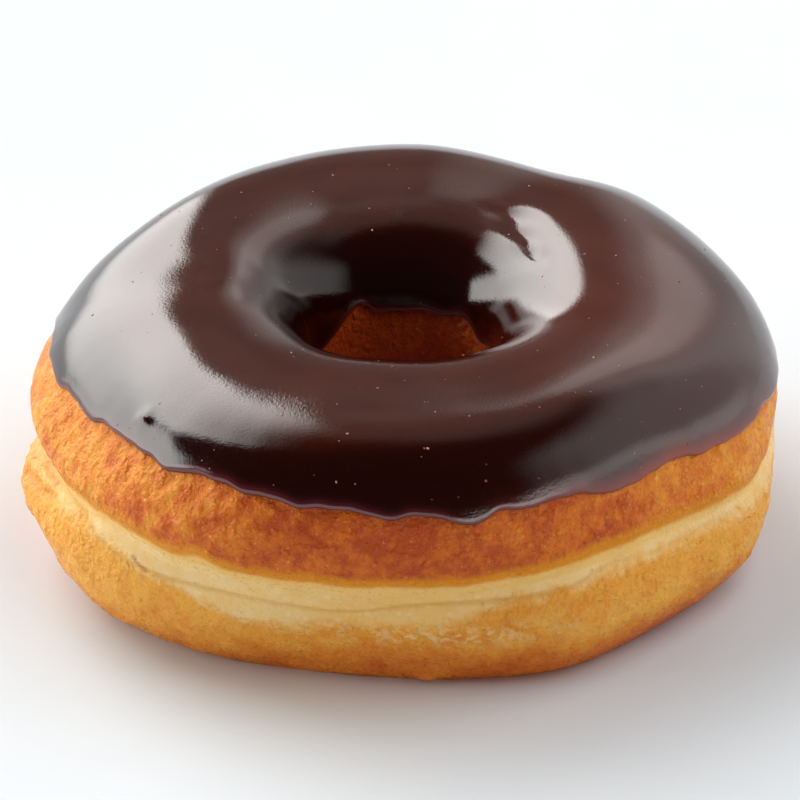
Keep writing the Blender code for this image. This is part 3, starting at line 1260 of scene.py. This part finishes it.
@dataclass
class IcingCoat:
    """The icing: a coat with a rounded lip, which swells a little before its edge.

    Distances from the edge, such as thickening, ripple_from and the reaches, are in lip widths.
    """

    shape: RingShape
    edges: IcingEdges
    axis: Vector
    around: int = 560
    lip_rows: int = 14
    top_rows: int = 76
    under_rows: int = 20
    gap: float = 0.00012
    edge_thickness: float = 0.00045
    thickness: float = 0.0011
    thickening: float = 8.0
    lip_width: float = 0.0005
    bead_swell: float = 0.00010
    beadless: tuple[Swell, ...] = (Swell(325, 1.0, 30),)
    free_lift: float = 0.00018
    ripple_size: float = 0.010
    ripple_height: float = 0.00010
    ripple_from: float = 4.0
    mounds: tuple[Mound, ...] = (
        Mound(162, 103, 0.0006, 12, 17), Mound(179, 100, 0.0007, 11, 15), Mound(8, 160, 0.0009, 25, 25),
        Mound(54, 103, -0.0005, 9, 4.5), Mound(44, 109.5, -0.0006, 9, 4.5), Mound(33.5, 115, -0.00055, 8, 4.2),
        Mound(219, 52, 0.0004, 1.7, 4.0),
    )
    # Painted light: the upward slopes between which the icing turns from painted shade to its lit brown.
    painted_light_slopes: tuple[float, float] = (0.84, 0.97)
    lip_tint: float = 0.7
    lip_reach: float = 1.5
    embers: tuple[Swell, ...] = (Swell(350, 0.12, 45),)
    edge_embers: tuple[Swell, ...] = (Swell(322, 1.0, 24),)
    ember_reach: float = 3.4
    name: str = "chocolate_coat"

    def _lip_shares(self) -> np.ndarray:
        """Gives places across the lip, closest at its edge."""
        return 1.0 - np.cos(np.linspace(0.0, np.pi / 2.0, self.lip_rows))

    @staticmethod
    def _rounded(from_edge: np.ndarray) -> np.ndarray:
        """Gives the round form of the lip: 0 at the edge, and 1 from one lip width on."""
        return np.sqrt(1.0 - (1.0 - np.clip(from_edge, 0.0, 1.0)) ** 2)

    def _rows(self, azimuth: float, first: float, last: float) -> tuple[np.ndarray, np.ndarray, np.ndarray]:
        """Works out one section of the icing.

        Args:
            azimuth: The section's azimuth in radians.
            first: The turn of the outer edge.
            last: The turn of the edge in the hole.

        Returns:
            The turns, the lift above the dough, and the distance from the nearest edge in lip widths.
        """
        _, width = self.shape.even_turns(azimuth, first, last, np.array([0.0]))
        lip = self._lip_shares() * self.lip_width / width
        middle = np.linspace(lip[-1], 1.0 - lip[-1], self.top_rows)[1:-1]
        shares = np.concatenate([lip, middle, 1.0 - lip[::-1]])
        turns, _ = self.shape.even_turns(azimuth, first, last, shares)
        from_edge = np.minimum(shares, 1.0 - shares) * width / self.lip_width
        beaded = 1.0 - swollen(0.0, (), self.beadless, azimuth)
        bead = self.bead_swell * beaded * fading(from_edge - 1.0)
        body = self.thickness - (self.thickness - self.edge_thickness) * np.exp(-from_edge / self.thickening)
        lift = self.gap + (body + bead) * self._rounded(from_edge)
        under_shares = np.linspace(1.0, 0.0, self.under_rows)[1:-1]
        under, _ = self.shape.even_turns(azimuth, first, last, under_shares)
        under_edge = np.minimum(under_shares, 1.0 - under_shares) * width / self.lip_width
        return (
            np.concatenate([turns, under]),
            np.concatenate([lift, np.full_like(under, self.gap)]),
            np.concatenate([from_edge, under_edge]),
        )

    def _mounds(self, azimuth: np.ndarray, turns: np.ndarray) -> np.ndarray:
        """Adds up the low mounds and hollows.

        Args:
            azimuth: Azimuths in radians.
            turns: Turns round the section, in radians.

        Returns:
            The rise in metres.
        """
        rise = np.zeros_like(turns)
        for mound in self.mounds:
            across = fading((np.degrees(turns) - mound.turn) / mound.half_turn)
            rise = rise + mound.rise * local(azimuth, mound.azimuth, mound.half_width) * across
        return rise

    def build(self, material: bpy.types.Material) -> bpy.types.Object:
        """Builds the icing.

        Args:
            material: The icing's material.

        Returns:
            The piece.
        """
        azimuth = np.linspace(0.0, 2.0 * np.pi, self.around, endpoint=False)
        first, last = self.edges.turns(self.shape, azimuth)
        rows = [self._rows(a, f, l) for a, f, l in zip(azimuth, first, last)]
        turns, lift, from_edge = (np.array(part) for part in zip(*rows))
        round_ring = np.broadcast_to(azimuth[:, None], turns.shape)
        plain = self.shape.surface(round_ring, turns)
        outward = self.shape.outward(round_ring, turns)
        ripple = self.ripple_height * noise_at(plain, self.ripple_size)
        ripple = ripple * np.clip(from_edge / self.ripple_from, 0.0, 1.0)
        mounds = self._mounds(round_ring, turns) * self._rounded(from_edge)
        lift = lift + np.where(lift > self.free_lift, ripple + mounds, 0.0)
        # Painted light: 1 where the icing faces up and is painted its lit brown, 0 on its slopes, painted as
        # shade.
        painted_top_light = smooth_step(outward[..., 2], *self.painted_light_slopes)
        ember = swollen(0.0, (), self.edge_embers, round_ring) * fading(from_edge / self.ember_reach)
        ember = ember + swollen(0.0, (), self.embers, round_ring)
        lip = self.lip_tint * fading(from_edge / self.lip_reach)
        points = plain + outward * lift[..., None] + np.array([self.axis.x, self.axis.y, 0.0])
        piece = add_ring(self.name, points, {"lip": lip, "painted_top_light": painted_top_light, "ember": ember})
        finish_mesh(piece, material)
        return piece


@dataclass
class SugarSpecks:
    """Tiny crumbs and grains of sugar that cling to the icing."""

    coat: bpy.types.Object
    number: int = 190
    smallest: float = 0.00006
    largest: float = 0.00016
    rarity: float = 2.5
    flatness: float = 0.6
    stretch: float = 0.6
    segments: int = 8
    rings: int = 5
    least_slope: float = 0.25
    seed: int = 11
    name: str = "sugar_specks"

    def build(self, material: bpy.types.Material) -> bpy.types.Object:
        """Builds the specks as one piece.

        Args:
            material: The specks' material.

        Returns:
            The piece.
        """
        chance = np.random.default_rng(self.seed)
        upper = [vertex for vertex in self.coat.data.vertices if vertex.normal.z > self.least_slope]
        reach = np.array([math.hypot(vertex.co.x, vertex.co.y) for vertex in upper])
        chosen = chance.choice(len(upper), self.number, replace=False, p=reach / reach.sum())
        bpy.ops.object.select_all(action="DESELECT")
        bpy.ops.mesh.primitive_uv_sphere_add(segments=self.segments, ring_count=self.rings, radius=1.0)
        first = bpy.context.object
        grains = [first]
        for _ in range(self.number - 1):
            copy = first.copy()
            copy.data = first.data.copy()
            bpy.context.scene.collection.objects.link(copy)
            grains.append(copy)
        for grain, place in zip(grains, chosen):
            size = self.smallest + (self.largest - self.smallest) * float(chance.random()) ** self.rarity
            stretch = 1.0 + self.stretch * float(chance.random())
            turn = upper[place].normal.to_track_quat("Z", "Y").to_matrix().to_4x4()
            turn = turn @ Matrix.Rotation(float(chance.random()) * math.tau, 4, "Z")
            scale = Matrix.Diagonal((size * stretch, size, size * self.flatness, 1.0))
            grain.data.transform(Matrix.Translation(upper[place].co) @ turn @ scale)
            grain.select_set(True)
        bpy.context.view_layer.objects.active = first
        bpy.ops.object.join()
        first.name = self.name
        first.data.name = self.name
        finish_mesh(first, material)
        return first


class Span(NamedTuple):
    """A range of angles in degrees, and how soft its two ends are."""

    low: float
    high: float
    soft_low: float
    soft_high: float


class Glow(NamedTuple):
    """A softly lit part of the studio, by its bearing and elevation as the doughnut sees it."""

    bearing: Span
    elevation: Span
    radiance: float


@dataclass
class Studio:
    """The table, the camera and the soft light round them.

    A bearing is 0 straight behind the doughnut, and grows to the right.
    """

    axis: Vector
    table_size: float = 8.0
    camera_elevation: float = 34.0
    camera_distance: float = 0.667
    lens: float = 233.2
    sensor: float = 36.0
    aim_right: float = -0.0003
    aim_up: float = 0.0146
    roll: float = -1.1
    key_left: float = -69.0
    key_right: float = -10.0
    key_lean_from: float = 38.0
    key_lean: float = 0.40
    key_soft_left: float = 2.0
    key_soft_right: float = 1.2
    key_strength: float = 6.1
    key_profile: tuple[tuple[float, float], ...] = (
        (0.0, 0.38), (5.0, 0.60), (10.0, 0.66), (17.0, 0.70), (24.0, 0.77), (32.0, 0.94), (40.0, 0.97),
        (50.0, 0.80), (60.0, 0.42), (68.0, 0.10), (73.0, 0.0),
    )
    key_across: tuple[tuple[float, float], ...] = ((-72.0, 0.90), (-45.0, 1.08), (-30.0, 1.06), (-8.0, 0.92))
    glows: tuple[Glow, ...] = (
        Glow(Span(14, 31, 3, 4), Span(18, 52, 5, 4), 0.75),
        Glow(Span(8, 46, 5, 12), Span(-20, 50, 5, 7), 0.58),
        Glow(Span(-106, -69, 3, 2), Span(3, 37, 2.5, 4), 4.4),
        Glow(Span(38, 117, 12, 16), Span(-20, 41, 5, 10), 0.72),
        Glow(Span(-12, 12, 4, 6), Span(-20, 62, 5, 8), 0.16),
        Glow(Span(-12, 60, 4, 30), Span(28, 62, 6, 8), 0.10),
        Glow(Span(-40, 75, 15, 20), Span(54, 82, 8, 5), 0.22),
        Glow(Span(64, 158, 14, 10), Span(-20, 9, 3, 3), 0.85),
    )
    front_glow: float = 2.25
    front_from: tuple[float, float] = (110.0, 126.0)
    front_below: tuple[float, float] = (12.0, 6.0)
    ambient: float = 0.02
    tint: tuple = colour(1.0, 0.993, 0.962)
    fill_bearing: float = 88.0
    fill_elevation: float = 58.0
    fill_distance: float = 1.6
    fill_size: float = 1.5
    fill_power: float = 13.0

    def _table(self, material: bpy.types.Material) -> None:
        """Adds the table top.

        Args:
            material: Its material.
        """
        bpy.ops.object.select_all(action="DESELECT")
        bpy.ops.mesh.primitive_plane_add(size=self.table_size)
        table = bpy.context.object
        table.name = "table_top"
        table.data.materials.append(material)

    def _camera(self) -> None:
        """Adds the camera, at the angle of the picture."""
        data = bpy.data.cameras.new("camera")
        data.lens = self.lens
        data.sensor_width = self.sensor
        data.clip_start = 0.01
        camera = bpy.data.objects.new("camera", data)
        bpy.context.scene.collection.objects.link(camera)
        rise = math.radians(self.camera_elevation)
        back = Vector((0.0, -math.cos(rise), math.sin(rise)))
        up = Vector((0.0, math.sin(rise), math.cos(rise)))
        eye = self.axis + back * self.camera_distance
        aim = self.axis + Vector((1.0, 0.0, 0.0)) * self.aim_right + up * self.aim_up
        turn = (aim - eye).to_track_quat("-Z", "Y").to_matrix()
        turn = turn @ Matrix.Rotation(math.radians(self.roll), 3, "Z")
        camera.matrix_world = Matrix.Translation(eye) @ turn.to_4x4()
        bpy.context.scene.camera = camera

    def _fill(self) -> None:
        """Adds the soft light at the right, which the glaze doesn't mirror."""
        data = bpy.data.lights.new("fill", "AREA")
        data.shape = "DISK"
        data.size = self.fill_size
        data.energy = self.fill_power
        light = bpy.data.objects.new("fill", data)
        bpy.context.scene.collection.objects.link(light)
        bearing, rise = math.radians(self.fill_bearing), math.radians(self.fill_elevation)
        way = Vector((math.sin(bearing) * math.cos(rise), math.cos(bearing) * math.cos(rise), math.sin(rise)))
        turn = way.to_track_quat("Z", "Y").to_matrix().to_4x4()
        light.matrix_world = Matrix.Translation(way * self.fill_distance) @ turn
        light.visible_glossy = False

    @staticmethod
    def _within(graph: Graph, value: Input, span: Span) -> Output:
        """Works out whether an angle is in a range.

        Args:
            graph: The world's graph.
            value: The angle in degrees.
            span: The range.

        Returns:
            1 inside the range, and less towards its soft ends.
        """
        rise = graph.spread(value, span.low - span.soft_low, span.low + span.soft_low)
        fall = graph.spread(value, span.high + span.soft_high, span.high - span.soft_high)
        return graph.times(rise, fall)

    @staticmethod
    def _profile(graph: Graph, angle: Input, stops: tuple[tuple[float, float], ...]) -> Output:
        """Works out how strong a light is at an angle.

        Args:
            graph: The world's graph.
            angle: The angle in degrees.
            stops: Angles in degrees, and the light's strength at each.

        Returns:
            The strength.
        """
        first, last = stops[0][0], stops[-1][0]
        share = graph.math("DIVIDE", graph.minus(angle, first), last - first, clamp=True)
        shades = tuple(((at - first) / (last - first), colour(part, part, part)) for at, part in stops)
        return graph.ramp(share, shades)

    def _key(self, graph: Graph, bearing: Output, elevation: Output) -> Output:
        """Works out the light of the big softbox at the back left, whose right side leans away at its top.

        Args:
            graph: The world's graph.
            bearing: The bearing in degrees.
            elevation: The elevation in degrees.

        Returns:
            The light.
        """
        lean = graph.math("MAXIMUM", graph.minus(elevation, self.key_lean_from), 0.0)
        across = graph.plus(bearing, graph.times(lean, self.key_lean))
        span = Span(self.key_left, self.key_right, self.key_soft_left, self.key_soft_right)
        up = self._profile(graph, elevation, self.key_profile)
        along = self._profile(graph, bearing, self.key_across)
        return graph.times(self._within(graph, across, span), graph.times(up, along), self.key_strength)

    def _world(self) -> None:
        """Sets the soft light of the studio."""
        world = bpy.data.worlds.new("studio")
        world.use_nodes = True
        bpy.context.scene.world = world
        graph = Graph(world.node_tree)
        background = world.node_tree.nodes["Background"]
        way = graph.node("ShaderNodeTexCoord", {}).outputs["Generated"]
        axes = graph.node("ShaderNodeSeparateXYZ", {0: way}).outputs
        bearing = graph.math("DEGREES", graph.math("ARCTAN2", axes["X"], axes["Y"]))
        elevation = graph.math("DEGREES", graph.math("ARCSINE", axes["Z"]))
        light = graph.plus(self._key(graph, bearing, elevation), self.ambient)
        for glow in self.glows:
            across = self._within(graph, bearing, glow.bearing)
            up = self._within(graph, elevation, glow.elevation)
            light = graph.plus(light, graph.times(across, up, glow.radiance))
        front = graph.spread(graph.math("ABSOLUTE", bearing), *self.front_from)
        low = graph.spread(elevation, *self.front_below)
        light = graph.plus(light, graph.times(front, low, self.front_glow))
        shade = graph.node("ShaderNodeVectorMath", {0: self.tint[:3], "Scale": light}, operation="SCALE")
        graph.feed(background, {"Color": shade.outputs["Vector"]})

    def build(self, material: bpy.types.Material) -> None:
        """Builds the studio.

        Args:
            material: The table's material.
        """
        self._camera()
        self._table(material)
        self._fill()
        self._world()
        bpy.context.scene.view_settings.view_transform = "Standard"


def main() -> None:
    """Builds the doughnut and its studio."""
    logging.basicConfig(level=logging.INFO, format="%(message)s")
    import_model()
    effects = Effects()
    shape = RingShape()
    edges = IcingEdges()
    axis = Vector(RING_AXIS)
    Studio(axis).build(TableFinish().build(effects))
    log.info("studio set round the axis at %.2f, %.2f mm", axis.x / MM, axis.y / MM)

    crust = DoughRing(shape, edges, axis).build(CrustFinish().build(effects))
    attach(crust, "root")
    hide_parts("dough")
    log.info("%s: %d faces", crust.name, len(crust.data.polygons))

    coat = IcingCoat(shape, edges, axis).build(IcingFinish().build(effects))
    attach(coat, "root")
    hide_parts("icing")
    log.info("%s: %d faces", coat.name, len(coat.data.polygons))

    specks = SugarSpecks(coat).build(SpeckFinish().build(effects))
    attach(specks, "root")
    log.info("%s: %d faces", specks.name, len(specks.data.polygons))


if __name__ == "__main__":
    main()
